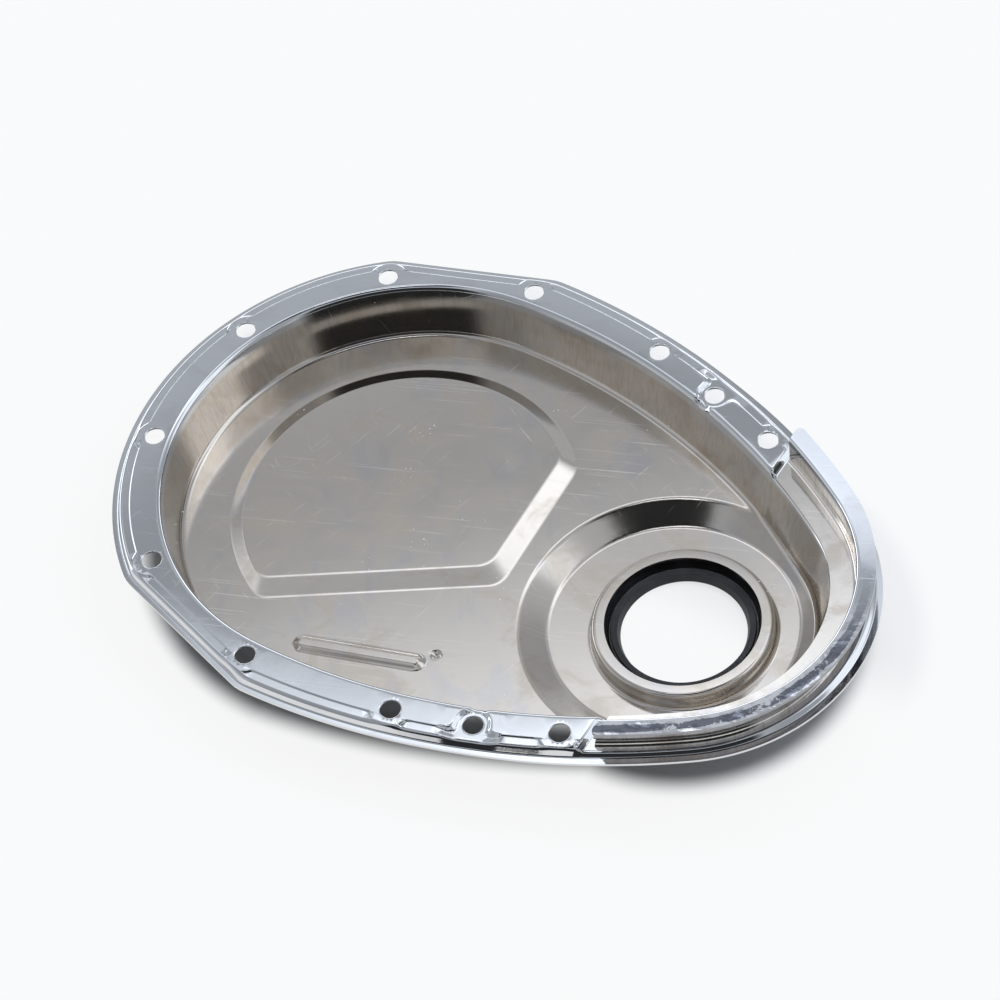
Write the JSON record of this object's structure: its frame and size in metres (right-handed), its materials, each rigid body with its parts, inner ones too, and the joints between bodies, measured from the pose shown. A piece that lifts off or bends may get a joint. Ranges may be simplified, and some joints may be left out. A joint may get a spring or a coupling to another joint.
{
  "type": "timing cover",
  "caption": "Egg-shaped drawn-steel engine timing cover with a bolt flange, stamped floor, crankshaft seal in a raised collar and a folded channel for the oil-pan seal.",
  "frame": {"origin": "middle of the cover's footprint, at the level of the bowl's front face that it rests on", "axes": "+X from the crankshaft axis to the camshaft axis, +Z out of the open engine side, +Y to the side that has the straight bead"},
  "size_m": [0.3264, 0.2354, 0.0439],
  "materials": {
    "cover_shell": "bright plating on the flange, duller and slightly cloudy inside the pan",
    "pan_seal_channel": "bright plating",
    "seal_case": "black coating on drawn steel",
    "seal_lip": "matt black oil-resistant rubber",
    "garter_spring": "coiled spring steel"
  },
  "bodies": {
    "root": {"cover_shell": "cover_shell", "pan_seal_channel": "pan_seal_channel", "seal_case": "seal_case", "seal_lip": "seal_lip", "garter_spring": "garter_spring"}
  },
  "joints": []
}
